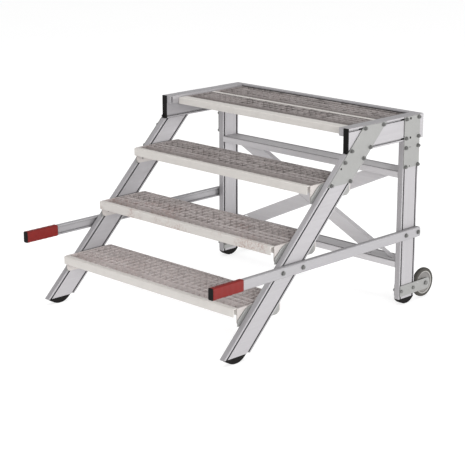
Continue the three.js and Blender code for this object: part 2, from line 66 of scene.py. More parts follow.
# slotted profile; the flight climbs at 45 degrees, so lengths across it grow by SLANT along it
PROFILE_WIDE = 100 * MM
SLOT_INSET = 10.4 * MM
SLOT_DEPTH = 6.2 * MM
SLOT_HALF = 3.5 * MM
SLANT = math.sqrt(2.0)
FRONT_SLOT = SLOT_INSET * SLANT
REAR_SLOT = PROFILE_WIDE * SLANT - FRONT_SLOT


# ---------- mesh helpers ----------
class Shell:
    """Collects faces, joining their equal points."""

    def __init__(self):
        self.points = []
        self.known = {}
        self.faces = []
        self.slots = []

    def at(self, point):
        key = (round(point[0], 6), round(point[1], 6), round(point[2], 6))
        if key not in self.known:
            self.known[key] = len(self.points)
            self.points.append(key)
        return self.known[key]

    def face(self, corners, slot=0):
        ids = []
        for corner in corners:
            i = self.at(corner)
            if i not in ids:
                ids.append(i)
        if len(ids) > 2:
            self.faces.append(ids)
            self.slots.append(slot)

    def band(self, ring_a, ring_b, slot=0):
        n = len(ring_a)
        for i in range(n):
            j = (i + 1) % n
            self.face((ring_a[i], ring_a[j], ring_b[j], ring_b[i]), slot)

    def tube(self, rings):
        """Joins rings one after the other and closes both ends."""
        for ring_a, ring_b in zip(rings, rings[1:]):
            self.band(ring_a, ring_b)
        self.face(rings[0][::-1])
        self.face(rings[-1])

    def mesh(self, name, crease=35):
        data = bpy.data.meshes.new(name)
        data.from_pydata(self.points, [], self.faces)
        data.polygons.foreach_set("material_index", self.slots)
        data.polygons.foreach_set("use_smooth", [True] * len(self.faces))
        data.validate()
        data.update()
        data.set_sharp_from_angle(angle=math.radians(crease))
        return data


def place(name, data, materials, body, stands_for=(), where=None):
    """Makes a piece of a mesh and hangs it on its body."""
    piece = bpy.data.objects.new(name, data)
    bpy.context.scene.collection.objects.link(piece)
    if where is not None:
        piece.matrix_world = where
    for material in materials:
        data.materials.append(material)
    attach(piece, body)
    if stands_for:
        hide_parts(*stands_for)
    return piece


def bevel(piece, width, segments=2, angle=32):
    modifier = piece.modifiers.new("edges", "BEVEL")
    modifier.width = width
    modifier.segments = segments
    modifier.limit_method = "ANGLE"
    modifier.angle_limit = math.radians(angle)
    modifier.use_clamp_overlap = True
    return modifier


# ---------- materials ----------
class Look:
    """A procedural material around one Principled shader."""

    def __init__(self, name, roughness, metallic, specular=0.5):
        self.material = bpy.data.materials.new(name)
        self.material.use_nodes = True
        self.tree = self.material.node_tree
        self.tree.nodes.clear()
        self.shader = self.tree.nodes.new("ShaderNodeBsdfPrincipled")
        self.shader.inputs["Roughness"].default_value = roughness
        self.shader.inputs["Metallic"].default_value = metallic
        self.shader.inputs["Specular IOR Level"].default_value = specular
        output = self.tree.nodes.new("ShaderNodeOutputMaterial")
        self.link(self.shader.outputs["BSDF"], output.inputs["Surface"])
        self.coords = self.tree.nodes.new("ShaderNodeTexCoord").outputs["Object"]

    def link(self, a, b):
        self.tree.links.new(a, b)

    def mapped(self, scale=(1.0, 1.0, 1.0), turn=None):
        vector = self.coords
        if turn is not None:
            node = self.tree.nodes.new("ShaderNodeMapping")
            self.link(vector, node.inputs["Vector"])
            node.inputs["Rotation"].default_value = turn
            vector = node.outputs["Vector"]
        node = self.tree.nodes.new("ShaderNodeMapping")
        self.link(vector, node.inputs["Vector"])
        node.inputs["Scale"].default_value = scale
        return node.outputs["Vector"]

    def noise(self, vector, scale, detail=3.0, rough=0.55):
        node = self.tree.nodes.new("ShaderNodeTexNoise")
        self.link(vector, node.inputs["Vector"])
        node.inputs["Scale"].default_value = scale
        node.inputs["Detail"].default_value = detail
        node.inputs["Roughness"].default_value = rough
        return node.outputs["Fac"]

    def cells(self, vector, scale):
        node = self.tree.nodes.new("ShaderNodeTexVoronoi")
        self.link(vector, node.inputs["Vector"])
        node.inputs["Scale"].default_value = scale
        return node.outputs["Color"]

    def ramp(self, value, low, high, dark, light):
        node = self.tree.nodes.new("ShaderNodeMapRange")
        self.link(value, node.inputs["Value"])
        node.inputs["From Min"].default_value = low
        node.inputs["From Max"].default_value = high
        node.inputs["To Min"].default_value = dark
        node.inputs["To Max"].default_value = light
        return node.outputs["Result"]

    def mix(self, factor, a, b):
        node = self.tree.nodes.new("ShaderNodeMix")
        node.data_type = "RGBA"
        for socket, value in ((node.inputs[0], factor), (node.inputs[6], a), (node.inputs[7], b)):
            if isinstance(value, (int, float)):
                socket.default_value = value
            elif isinstance(value, tuple):
                socket.default_value = (*value, 1.0)
            else:
                self.link(value, socket)
        return node.outputs[2]

    def painted_corner_shade(self, tone, reach, low, high, amount, dark):
        """Painted shade: darkens the tone in grooves, holes and tight corners that ambient occlusion
        finds.
        """
        node = self.tree.nodes.new("ShaderNodeAmbientOcclusion")
        node.samples = 8
        node.inputs["Distance"].default_value = reach
        return self.mix(self.ramp(node.outputs["AO"], low, high, amount, 0.0), tone, dark)

    def rusted(self, tone, spread, amount):
        """Rusty specks gathered in patches."""
        patch = self.noise(self.mapped(), spread, 3.0, 0.6)
        specks = self.noise(self.mapped(), 110.0, 4.0, 0.65)
        rusty = self.mix(self.ramp(specks, 0.46, 0.6, 0.0, amount), tone, (0.30, 0.15, 0.12))
        return self.mix(self.ramp(patch, 0.5, 0.62, 0.0, 1.0), tone, rusty)

    def colour(self, socket):
        self.link(socket, self.shader.inputs["Base Color"])

    def roughness(self, socket):
        self.link(socket, self.shader.inputs["Roughness"])

    def bump(self, height, strength, distance, below=None):
        node = self.tree.nodes.new("ShaderNodeBump")
        node.inputs["Strength"].default_value = strength
        node.inputs["Distance"].default_value = distance
        self.link(height, node.inputs["Height"])
        if below is not None:
            self.link(below, node.inputs["Normal"])
        self.link(node.outputs["Normal"], self.shader.inputs["Normal"])
        return node.outputs["Normal"]


def shade(colour, factor):
    return tuple(min(1.0, c * factor) for c in colour)


def extruded(name, turn, colour=(0.325, 0.315, 0.326), corner_shade=(0.012, 0.34, 0.64, 1.0)):
    """Mill-finish aluminium, its die lines along the bar: local X after the turn."""
    look = Look(name, 0.42, 0.2, 0.35)
    fine = look.noise(look.mapped((5.0, 700.0, 700.0), turn), 1.0, 2.0, 0.6)
    broad = look.noise(look.mapped((1.6, 90.0, 90.0), turn), 1.0, 3.0, 0.5)
    handled = look.noise(look.mapped(), 11.0, 4.0, 0.6)
    scuffs = look.noise(look.mapped((60.0, 420.0, 260.0), turn), 1.0, 2.0, 0.5)
    tone = look.mix(look.ramp(fine, 0.3, 0.7, 0.0, 1.0), shade(colour, 0.95), shade(colour, 1.04))
    tone = look.mix(look.ramp(broad, 0.35, 0.65, 0.0, 0.5), tone, shade(colour, 0.93))
    tone = look.mix(look.ramp(handled, 0.58, 0.75, 0.0, 0.35), tone, shade(colour, 0.86))
    tone = look.mix(look.ramp(scuffs, 0.68, 0.74, 0.0, 0.3), tone, shade(colour, 1.15))
    # painted shade: near-black in the slots and tight corners of the profile
    look.colour(look.painted_corner_shade(tone, *corner_shade, (0.022, 0.021, 0.022)))
    look.roughness(look.ramp(broad, 0.3, 0.7, 0.36, 0.5))
    normal = look.bump(fine, 0.10, 0.0004)
    look.bump(handled, 0.05, 0.001, normal)
    return look.material


def galvanised(name, colour=(0.228, 0.228, 0.222)):
    """Zinc-coated plate: faint spangle, matt patches, a few rubbed spots."""
    look = Look(name, 0.5, 0.3)
    spangle = look.cells(look.mapped(), 130.0)
    patches = look.noise(look.mapped(), 22.0, 5.0, 0.6)
    grain = look.noise(look.mapped(), 900.0, 2.0, 0.5)
    split = look.tree.nodes.new("ShaderNodeSeparateColor")
    look.link(spangle, split.inputs["Color"])
    facet = split.outputs["Red"]
    tone = look.mix(look.ramp(facet, 0.0, 1.0, 0.0, 1.0), shade(colour, 0.94), shade(colour, 1.05))
    tone = look.mix(look.ramp(patches, 0.45, 0.7, 0.0, 0.5), tone, shade(colour, 1.08))
    tone = look.mix(look.ramp(grain, 0.62, 0.75, 0.0, 0.3), tone, shade(colour, 0.8))
    # painted shade: near-black in the plate's holes and tight corners
    look.colour(look.painted_corner_shade(tone, 0.008, 0.2, 0.45, 0.9, (0.03, 0.03, 0.03)))
    look.roughness(look.ramp(facet, 0.0, 1.0, 0.44, 0.6))
    normal = look.bump(grain, 0.08, 0.0003)
    look.bump(patches, 0.05, 0.001, normal)
    return look.material


def folded(name, colour=(0.56, 0.535, 0.51), along=(3.0, 260.0, 260.0), rust=0.0):
    """Pale folded sheet with faint rolling lines, scuffs and, with age, rusty patches."""
    look = Look(name, 0.5, 0.15)
    rolled = look.noise(look.mapped(along), 1.0, 3.0, 0.55)
    patches = look.noise(look.mapped(), 16.0, 4.0, 0.55)
    specks = look.noise(look.mapped(), 500.0, 2.0, 0.5)
    tone = look.mix(look.ramp(rolled, 0.3, 0.7, 0.0, 1.0), shade(colour, 0.97), shade(colour, 1.03))
    tone = look.mix(look.ramp(patches, 0.5, 0.72, 0.0, 0.4), tone, shade(colour, 0.9))
    tone = look.mix(look.ramp(specks, 0.66, 0.76, 0.0, 0.35), tone, shade(colour, 0.74))
    if rust:
        tone = look.rusted(tone, 4.0, rust)
    # painted shade: dark in the sheet's bends, holes and tight corners
    look.colour(look.painted_corner_shade(tone, 0.008, 0.2, 0.45, 0.8, (0.06, 0.055, 0.05)))
    look.roughness(look.ramp(patches, 0.3, 0.7, 0.42, 0.58))
    look.bump(rolled, 0.06, 0.0005)
    return look.material


def grate_look(name, painted_brightness, rust, colour=(0.44, 0.397, 0.388)):
    """Hot-dipped bars: mottled zinc, dull patches, some rust, painted shade in the corners, the whole
    tone scaled by a painted brightness given per grating.
    """
    look = Look(name, 0.5, 0.2)
    # painted light: the grating's whole tone scaled by its given brightness
    colour = shade(colour, painted_brightness)
    mottle = look.noise(look.mapped(), 70.0, 4.0, 0.6)
    broad = look.noise(look.mapped(), 9.0, 4.0, 0.6)
    drips = look.noise(look.mapped((300.0, 300.0, 30.0)), 1.0, 3.0, 0.6)
    tone = look.mix(look.ramp(mottle, 0.3, 0.7, 0.0, 1.0), shade(colour, 0.86), shade(colour, 1.12))
    tone = look.mix(look.ramp(broad, 0.45, 0.7, 0.0, 0.6), tone, shade(colour, 0.8))
    tone = look.mix(look.ramp(drips, 0.62, 0.75, 0.0, 0.4), tone, shade(colour, 1.3))
    tone = look.rusted(tone, 5.0, rust)
    # painted shade: dark in the cells and corners between the bars
    look.colour(look.painted_corner_shade(tone, 0.02, 0.2, 0.5, 0.6, (0.05, 0.045, 0.04)))
    look.roughness(look.ramp(mottle, 0.3, 0.7, 0.42, 0.6))
    look.bump(mottle, 0.12, 0.0005)
    return look.material


def moulded(name, colour, roughness, grain=1400.0, depth=0.12, wear=0.25, specular=0.4):
    """Moulded plastic or rubber: fine pebble, cloudy tone, rubbed spots."""
    look = Look(name, roughness, 0.0, specular)
    pebble = look.noise(look.mapped(), grain, 2.0, 0.5)
    cloud = look.noise(look.mapped(), 45.0, 4.0, 0.6)
    rubbed = look.noise(look.mapped(), 160.0, 3.0, 0.65)
    tone = look.mix(look.ramp(cloud, 0.3, 0.7, 0.0, 1.0), shade(colour, 0.9), shade(colour, 1.12))
    light = tuple(c * 1.25 + 0.006 for c in colour)
    tone = look.mix(look.ramp(rubbed, 0.6, 0.78, 0.0, wear), tone, light)
    look.colour(tone)
    look.roughness(look.ramp(cloud, 0.3, 0.7, roughness - 0.07, roughness + 0.08))
    normal = look.bump(pebble, depth, 0.0003)
    look.bump(cloud, 0.05, 0.0008, normal)
    return look.material


QUARTER_TURN = math.pi / 2
ALUMINIUM_X = extruded("aluminium_level", (0.0, 0.0, 0.0))
ALUMINIUM_Y = extruded("aluminium_fore_aft", (0.0, 0.0, -QUARTER_TURN))
# painted light: a paler copy of the mill-finish aluminium for the rear beams and braces, standing in
# for light they get too little of
ALUMINIUM_REAR_LIT = extruded("aluminium_rear_painted_light", (0.0, 0.0, 0.0), (0.51, 0.496, 0.508))
# painted shade: the corner shade is set wider on the handle, for the shadow along the lips of its
# recess
ALUMINIUM_HANDLE = extruded("aluminium_handle", (0.0, 0.0, -QUARTER_TURN), (0.292, 0.285, 0.295),
                            (0.011, 0.45, 0.88, 0.75))
ALUMINIUM_Z = extruded("aluminium_upright", (0.0, QUARTER_TURN, 0.0))
ALUMINIUM_FLIGHT = extruded("aluminium_flight", (0.0, math.pi / 4, -QUARTER_TURN))
GALVANISED = galvanised("galvanised_plate")
STEEL = galvanised("zinc_fastener", (0.12, 0.12, 0.116))
SHEET_LOOK = folded("pale_sheet")
SHEET_MARKED = folded("pale_sheet_marked", rust=0.65)
END_LOOK = folded("pale_end_plate", (0.40, 0.372, 0.358))
BLACK_PLASTIC = moulded("black_plastic", (0.0028, 0.0025, 0.0022), 0.6, wear=0.08, specular=0.16)
BLACK_RUBBER = moulded("black_rubber", (0.0035, 0.003, 0.0028), 0.75, depth=0.25, wear=0.1,
                       specular=0.15)
RED_PLASTIC = moulded("red_grip", (0.148, 0.0075, 0.006), 0.5, depth=0.2, wear=0.1, specular=0.22)
TYRE = moulded("grey_tyre", (0.045, 0.042, 0.037), 0.75, depth=0.3, specular=0.25)
HUB = moulded("grey_hub", (0.15, 0.143, 0.137), 0.5)
# painted highlight: a paler grey for the hub's rim lip, standing in for the light caught on its edge
HUB_RIM_HIGHLIGHT = moulded("grey_hub_rim_painted_highlight", (0.27, 0.262, 0.25), 0.4)


# ---------- finishes of the CAD pieces ----------
# bevel widths of the edges
SAWN = 0.4 * MM
ROLLED = 0.5 * MM
SHEARED = 0.6 * MM
PRESSED = 0.8 * MM
MOULDED = 1.5 * MM
PAIRED_FINISHES = [
    ("stringer", ALUMINIUM_FLIGHT, SAWN, 2),
    ("rear_leg", ALUMINIUM_Z, SAWN, 2),
    ("platform_rail", ALUMINIUM_Y, SAWN, 2),
    ("platform_ledge", ALUMINIUM_Y, SAWN, 2),
    ("handle_bar", ALUMINIUM_HANDLE, SHEARED, 2),
    ("gusset_front", GALVANISED, SHEARED, 2),
    ("gusset_rear", GALVANISED, SHEARED, 2),
    ("rail_end_cap", BLACK_PLASTIC, PRESSED, 2),
    ("foot_front", BLACK_RUBBER, MOULDED, 3),
    ("foot_rear", BLACK_RUBBER, MOULDED, 3),
    ("wheel_plate_outer", GALVANISED, SHEARED, 2),
    ("wheel_plate_inner", GALVANISED, SHEARED, 2),
    ("wheel_plate_bolt_front", STEEL, ROLLED, 2),
    ("wheel_plate_bolt_rear", STEEL, ROLLED, 2),
    ("axle_bolt", STEEL, ROLLED, 2),
]
for step in STEPS:
    PAIRED_FINISHES += [(f"tread_{step}_end_plate", END_LOOK, SHEARED, 2),
                        (f"tread_{step}_bracket", GALVANISED, PRESSED, 2)]
FINISHES = [(f"{name}_{side}", *rest) for side, _ in SIDES for name, *rest in PAIRED_FINISHES]
FINISHES += [
    ("platform_rail_rear", ALUMINIUM_X, SAWN, 2),
    ("rear_beam_upper", ALUMINIUM_REAR_LIT, SAWN, 2),
    ("rear_beam_lower", ALUMINIUM_REAR_LIT, SAWN, 2),
    ("cross_brace_falling", ALUMINIUM_REAR_LIT, ROLLED, 2),
    ("cross_brace_rising", ALUMINIUM_REAR_LIT, ROLLED, 2),
]
for name, material, width, segments in FINISHES:
    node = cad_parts[name]
    node.data.materials.clear()
    node.data.materials.append(material)
    weld = node.modifiers.new("weld", "WELD")
    weld.merge_threshold = 0.01 * MM
    bevel(node, width, segments)


# ---------- treads and planks ----------
MESH = 32.8 * MM
BAR = 3.0 * MM  # bearing bars
CROSS = 2.4 * MM  # cross bars
CROSS_TOP = -0.5 * MM
CROSS_LOW = -10.5 * MM
EDGE_CLEAR = 12 * MM  # no bar stands nearer than this to the bar along an edge
FLANGE_SHEET = 2.5 * MM


def arc(cy, cz, radius, a0, a1, n=4):
    points = []
    for k in range(n + 1):
        a = math.radians(a0 + (a1 - a0) * k / n)
        points.append((cy + radius * math.cos(a), cz + radius * math.sin(a)))
    return points


def nosing(shell, half, flange, height, leg):
    """The front of a tread: a face, a rounded nose, a flat flange and a leg down behind it."""
    r, t = 3.5 * MM, FLANGE_SHEET
    outer = [(0.0, -height)] + arc(r, -r, r, 180, 90) + arc(flange - r, -r, r, 90, 0)
    outer.append((flange, -leg))
    inner = [(t, -height)] + arc(r, -r, r - t, 180, 90) + arc(flange - r, -r, r - t, 90, 0)
    inner.append((flange - t, -leg))
    section = outer + inner[::-1]
    stations = [-half + 2 * half * k / 8 for k in range(9)]
    rings = [[(x, y, z) for y, z in section] for x in stations]
    for ring_a, ring_b in zip(rings, rings[1:]):
        shell.band(ring_b, ring_a, 0)
    for x, turn in ((-half, 1), (half, -1)):
        for k in range(len(outer) - 1):
            corners = [(x, *outer[k]), (x, *outer[k + 1]), (x, *inner[k + 1]), (x, *inner[k])]
            shell.face(corners[::turn], 0)


def bar_grid(shell, half, start, lines, posts, deep):
    """Bearing bars along X, shallower cross bars between them, open in the meshes."""
    xs = [-half]
    for x in [-half + BAR / 2] + posts + [half - BAR / 2]:
        wide = BAR if abs(abs(x) - half) < BAR else CROSS
        xs += [x - wide / 2, x + wide / 2]
    xs = xs[1:]
    ys = [start]
    for y in lines:
        ys += [y - BAR / 2, y + BAR / 2]
    levels = (0.0, CROSS_TOP, CROSS_LOW, 2 * CROSS_LOW, -deep)

    def span(i, j):
        if not (0 <= i < len(xs) - 1 and 0 <= j < len(ys) - 1):
            return None
        if j % 2 == 1 or i in (0, len(xs) - 2):
            return (0, 4)
        if i % 2:
            return None
        return (1, 2) if j else (2, 3)

    def wall(p, q, here, there):
        for k in range(here[0], here[1]):
            if there is None or not there[0] <= k < there[1]:
                top, low = levels[k], levels[k + 1]
                shell.face(((*p, top), (*p, low), (*q, low), (*q, top)), 1)

    for i in range(len(xs) - 1):
        for j in range(len(ys) - 1):
            here = span(i, j)
            if here is None:
                continue
            x0, x1, y0, y1 = xs[i], xs[i + 1], ys[j], ys[j + 1]
            top, low = levels[here[0]], levels[here[1]]
            shell.face(((x0, y0, top), (x1, y0, top), (x1, y1, top), (x0, y1, top)), 1)
            shell.face(((x0, y1, low), (x1, y1, low), (x1, y0, low), (x0, y0, low)), 1)
            wall((x0, y1), (x0, y0), here, span(i - 1, j))
            wall((x1, y0), (x1, y1), here, span(i + 1, j))
            wall((x0, y0), (x1, y0), here, span(i, j - 1))
            wall((x1, y1), (x0, y1), here, span(i, j + 1))


def grating(name, length, depth, height, flange, first):
    shell = Shell()
    half = length / 2
    deep = height - 3 * MM
    nosing(shell, half, flange, height, deep)
    lines = []
    y = first
    while y < depth - EDGE_CLEAR:
        lines.append(y)
        y += MESH
    lines.append(depth - BAR / 2)
    count = 2 * int((half - EDGE_CLEAR) / MESH + 0.5)
    posts = [(k - (count - 1) / 2) * MESH for k in range(count)]
    bar_grid(shell, half, flange - 0.1 * MM, lines, posts, deep)
    return shell.mesh(name, 30)


# node, depth of the nosing, first bearing bar behind the front, painted brightness (lower gratings
# lighter, standing in for the light from the floor below), rust
GRATINGS = [
    ("tread_1", 25 * MM, 69 * MM, 1.13, 0.2),
    ("tread_2", 25 * MM, 69 * MM, 1.0, 0.4),
    ("tread_3", 25 * MM, 69 * MM, 0.8, 0.1),
    ("platform_plank_front", 48 * MM, 84 * MM, 0.69, 0.1),
    ("platform_plank_rear", 24 * MM, 57 * MM, 0.69, 0.1),
]
for name, flange, first, painted_brightness, rust in GRATINGS:
    low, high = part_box(name)
    size = high - low
    data = grating(f"grating_{name}", size.x, size.y, size.z, flange, first)
    where = Matrix.Translation(Vector(((low.x + high.x) / 2, low.y, high.z)))
    sheet = SHEET_MARKED if name == "tread_2" else SHEET_LOOK
    piece = place(f"grating_{name}", data, (sheet, grate_look(f"grate_{name}", painted_brightness, rust)),
                  "frame", (name,), where)
    bevel(piece, 0.35 * MM, 1, 40)


# ---------- grips and wheels ----------
def round_section(a, b, radius, n=6):
    """Rounded rectangle of half sizes a and b, counter-clockwise."""
    points = []
    for cx, cy, start in ((a - radius, b - radius, 0), (radius - a, b - radius, 90),
                          (radius - a, radius - b, 180), (a - radius, radius - b, 270)):
        for k in range(n + 1):
            angle = math.radians(start + 90 * k / n)
            points.append((cx + radius * math.cos(angle), cy + radius * math.sin(angle)))
    return points


def sleeve(stations, a, b, radius):
    """Rounded bar along Y: each station is (y, inset), and both ends are closed."""
    shell = Shell()
    rings = []
    for y, inset in stations:
        section = round_section(a - inset, b - inset, max(0.5 * MM, radius - inset))
        rings.append([(x, y, z) for x, z in section])
    for ring_a, ring_b in zip(rings, rings[1:]):
        shell.band(ring_b, ring_a)
    shell.face(rings[0])
    shell.face(rings[-1][::-1])
    return shell


def grip_stations(length):
    """A grip with a lip at each end and shallow waves for the fingers."""
    edge = 2.5 * MM
    stations = [(0.0, 3.0 * MM), (0.4 * MM, 1.2 * MM), (1.4 * MM, 0.3 * MM), (edge, 0.0),
                (3 * edge, 0.0)]
    n = 40
    for k in range(1, n):
        y = 3 * edge + (length - 6 * edge) * k / n
        wave = 0.5 - 0.5 * math.cos(2 * math.pi * 5 * k / n)
        stations.append((y, 0.55 * MM * wave))
    stations += [(length - 3 * edge, 0.0), (length - 5.0 * MM, 0.2 * MM), (length - 2.6 * MM, 0.8 * MM),
                 (length - 0.9 * MM, 1.7 * MM), (length, 2.9 * MM)]
    return stations


def lathe(profile, n, slots=None):
    """Closed profile of (x, radius) turned about X."""
    shell = Shell()
    rings = [[(x, r * math.cos(2 * math.pi * k / n), r * math.sin(2 * math.pi * k / n))
              for k in range(n)] for x, r in profile]
    for i in range(len(rings)):
        shell.band(rings[i], rings[(i + 1) % len(rings)], slots[i] if slots else 0)
    return shell


# one side of a hub in millimetres: radius, distance from the middle plane
HUB_FACE = [(5.8, 11.4), (6.4, 12.0), (12.6, 12.0), (13.6, 11.2), (14.6, 6.4), (16.0, 5.2),
            (24.0, 4.8), (32.0, 5.2), (41.0, 4.4), (43.0, 5.4), (44.6, 8.6), (45.4, 9.2)]
CAP_THICK = 3.7 * MM
GRIP_CORNER = 6 * MM
CROWN_RISE = 2.2 * MM
WHEEL_STEPS = 72
for side, sign in SIDES:
    low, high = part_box(f"handle_grip_{side}")
    size, centre = high - low, (low + high) / 2
    shell = sleeve(grip_stations(size.y), size.x / 2, size.z / 2, GRIP_CORNER)
    where = Matrix.Translation(Vector((centre.x, low.y, centre.z)))
    place(f"grip_{side}", shell.mesh(f"grip_{side}", 60), (RED_PLASTIC,), "frame",
          (f"handle_grip_{side}",), where)
    low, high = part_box(f"grip_cap_{side}")
    size, centre = high - low, (low + high) / 2
    stations = [(0.0, 6.0 * MM), (0.0, 3.0 * MM), (0.5 * MM, 1.5 * MM), (1.4 * MM, 0.5 * MM),
                (2.4 * MM, 0.0), (CAP_THICK - 0.4 * MM, 0.0), (CAP_THICK, 0.5 * MM)]
    shell = sleeve(stations, size.x / 2, size.z / 2, GRIP_CORNER)
    where = Matrix.Translation(Vector((centre.x, low.y, centre.z)))
    place(f"grip_end_{side}", shell.mesh(f"grip_end_{side}", 50), (BLACK_PLASTIC,), "frame",
          (f"grip_cap_{side}",), where)

    low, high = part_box(f"wheel_tyre_{side}")
    centre = (low + high) / 2
    half, radius = (high.x - low.x) / 2, (high.z - low.z) / 2
    hub_low, hub_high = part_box(f"wheel_hub_{side}")
    hub_radius = (hub_high.z - hub_low.z) / 2
    bore = hub_radius - 0.2 * MM
    crown = []
    for k in range(13):
        a = math.radians(-90 + 180 * k / 12)
        crown.append(((half - 3.2 * MM) * math.sin(a), radius - CROWN_RISE + CROWN_RISE * math.cos(a)))
    flank = [(-half + 0.8 * MM, bore), (-half, bore + 1.2 * MM), (-half, radius - 9 * MM),
             (-half + 0.5 * MM, radius - 5 * MM), (-half + 1.6 * MM, radius - 2.8 * MM)]
    shell = lathe(flank + crown + [(-x, r) for x, r in flank[::-1]], WHEEL_STEPS)
    where = Matrix.Translation(centre)
    place(f"tyre_{side}", shell.mesh(f"tyre_{side}", 50), (TYRE,), f"wheel_{side}",
          (f"wheel_tyre_{side}",), where)
    side_face = [(x * MM, r * MM) for r, x in HUB_FACE]
    lip = [(9.6 * MM, hub_radius - 2.4 * MM), (10.0 * MM, hub_radius - 1.6 * MM),
           (9.8 * MM, hub_radius - 0.6 * MM), (9.0 * MM, hub_radius)]
    half_profile = side_face + lip
    profile = half_profile + [(-x, r) for x, r in half_profile[::-1]]
    first_lip, last_lip = len(side_face) - 1, len(profile) - len(side_face)
    # the rim's lip takes the paler material, a painted highlight along its edge
    slots = [1 if first_lip <= i < last_lip else 0 for i in range(len(profile))]
    shell = lathe(profile[::-1], WHEEL_STEPS, slots[::-1])
    place(f"hub_{side}", shell.mesh(f"hub_{side}", 50), (HUB, HUB_RIM_HIGHLIGHT), f"wheel_{side}",
          (f"wheel_hub_{side}",), where)


# ---------- bolts ----------
def turned_ring(x, radius, n):
    ring = []
    for k in range(n):
        a = 2 * math.pi * k / n
        ring.append((x, radius * math.cos(a), radius * math.sin(a)))
    return ring


def hex_ring(x, radius, n, turn):
    """A hexagon across-corners radius, drawn with n points so that it joins to round rings."""
    ring = []
    for k in range(n):
        a = 2 * math.pi * k / n
        local = (a % (math.pi / 3)) - math.pi / 6
        reach = radius * math.cos(math.pi / 6) / math.cos(local)
        ring.append((x, reach * math.cos(a + turn), reach * math.sin(a + turn)))
    return ring


def bolt_head(shell, centre, outward, washer, hexagon, tall, stub, turn):
    """Washer, hexagon and the end of the thread, standing on a face that looks along X."""
    n = 24
    base = 1.6 * MM
    top = base + tall
    profile = [
        turned_ring(-0.1 * MM, 0.001 * MM, n), turned_ring(-0.1 * MM, washer, n),
        turned_ring(1.2 * MM, washer, n), turned_ring(1.5 * MM, washer - 0.4 * MM, n),
        turned_ring(1.5 * MM, hexagon * 0.9, n), hex_ring(base, hexagon, n, turn),
        hex_ring(top - 1.0 * MM, hexagon, n, turn), turned_ring(top, hexagon * 0.84, n),
    ]
    if stub:
        profile += [
            turned_ring(top, 4.0 * MM, n), turned_ring(top + stub - 0.7 * MM, 4.0 * MM, n),
            turned_ring(top + stub, 3.3 * MM, n), turned_ring(top + stub, 0.001 * MM, n),
        ]
    else:
        profile += [turned_ring(top + 0.1 * MM, hexagon * 0.5, n),
                    turned_ring(top - 0.2 * MM, 0.001 * MM, n)]
    rings = [[(centre[0] + outward * x, centre[1] + y, centre[2] + z) for x, y, z in ring]
             for ring in profile]
    if outward < 0:
        rings = [ring[::-1] for ring in rings]
    shell.tube(rings)


NUT = (8.4 * MM, 7.6 * MM, 6.6 * MM, 3.4 * MM)  # washer, hexagon, height, thread end
DOMED_HEAD = (9.0 * MM, 7.9 * MM, 5.4 * MM, 1.8 * MM)
SMALL_HEAD = (7.4 * MM, 6.5 * MM, 4.6 * MM, 0.0)


def bolt_group(name, centres, outward, kind):
    shell = Shell()
    for centre in centres:
        bolt_head(shell, centre, outward, *kind, random.uniform(0, math.pi / 3))
    return place(name, shell.mesh(name, 30), (STEEL,), "frame")


def block(shell, low, high):
    """A small block with broken edges."""
    edge = 0.5 * MM
    rings = []
    for x, inset in ((low[0], edge), (low[0] + edge, 0.0), (high[0] - edge, 0.0), (high[0], edge)):
        y0, y1, z0, z1 = low[1] + inset, high[1] - inset, low[2] + inset, high[2] - inset
        rings.append([(x, y1 - edge, z1), (x, y0 + edge, z1), (x, y0, z1 - edge), (x, y0, z0 + edge),
                      (x, y0 + edge, z0), (x, y1 - edge, z0), (x, y1, z0 + edge), (x, y1, z1 - edge)])
    shell.tube(rings)


def button(shell, centre, radius, deep, outward):
    """A round plug in the hole of a plate, its thin flange on the plate's face."""
    face, y, z = centre
    flange = radius + 0.9 * MM
    profile = ((deep, radius), (face, radius), (face, flange), (face + outward * 0.6 * MM, flange),
               (face + outward * 1.0 * MM, flange - 0.6 * MM))
    rings = []
    for x, r in profile:
        ring = [(x, y + b, z + c) for _, b, c in turned_ring(0.0, r, 16)]
        rings.append(ring if outward > 0 else ring[::-1])
    shell.tube(rings)


def gusset_fittings(side, sign):
    """Nuts of both gussets, plugs in the slots beside them, buttons in their spare holes."""
    low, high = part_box(f"gusset_front_{side}")
    face = high.x if sign > 0 else low.x
    rows = [rail_high.z - SLOT_INSET, rail_low.z + SLOT_INSET]
    rows += [rail_high.z - below for below in LEG_ROWS]
    edge = low.y - 1 * MM - low.z
    centres = [(face, edge + z + slot, z) for z in rows for slot in (FRONT_SLOT, REAR_SLOT)]
    bolt_group(f"gusset_front_bolts_{side}", centres, sign, NUT)
    low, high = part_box(f"gusset_rear_{side}")
    face = high.x if sign > 0 else low.x
    bolt_group(f"gusset_rear_bolts_{side}", [(face, y, z) for z in rows for y in leg_slots], sign, NUT)

    outer = rail_high.x * sign
    deep = outer - sign * SLOT_DEPTH
    x0, x1 = min(outer, deep), max(outer, deep)
    shell = Shell()
    for z in rows[:2]:
        slant = edge + z + 1 * MM
        for y0, y1 in ((slant - 11 * MM, slant + 4 * MM), (low.y - 9 * MM, low.y + 4 * MM),
                       (low.y + 31 * MM, low.y + 44 * MM)):
            block(shell, (x0, y0, z - SLOT_HALF), (x1, y1, z + SLOT_HALF))
    for z in rows[:2]:
        button(shell, (face, low.y + 37.5 * MM, z), 3.9 * MM, deep, sign)
    z = rail_high.z - SPARE_HOLE
    button(shell, (face, edge + z + FRONT_SLOT, z), 3.3 * MM, deep, sign)
    _, plate_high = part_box(f"wheel_plate_outer_{side}")
    for y in leg_slots:
        block(shell, (x0, y - SLOT_HALF, plate_high.z - 4 * MM),
              (x1, y + SLOT_HALF, plate_high.z + 10 * MM))
    return shell


def rear_rail_end(sign):
    """The thin plate that closes the end of the rear rail."""
    low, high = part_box("platform_rail_rear")
    x0, x1 = (high.x, high.x + END_SHEET) if sign > 0 else (low.x - END_SHEET, low.x)
    shell = Shell()
    block(shell, (x0, low.y + 0.3 * MM, low.z + 0.3 * MM), (x1, high.y - 0.3 * MM, high.z - 0.3 * MM))
    return shell


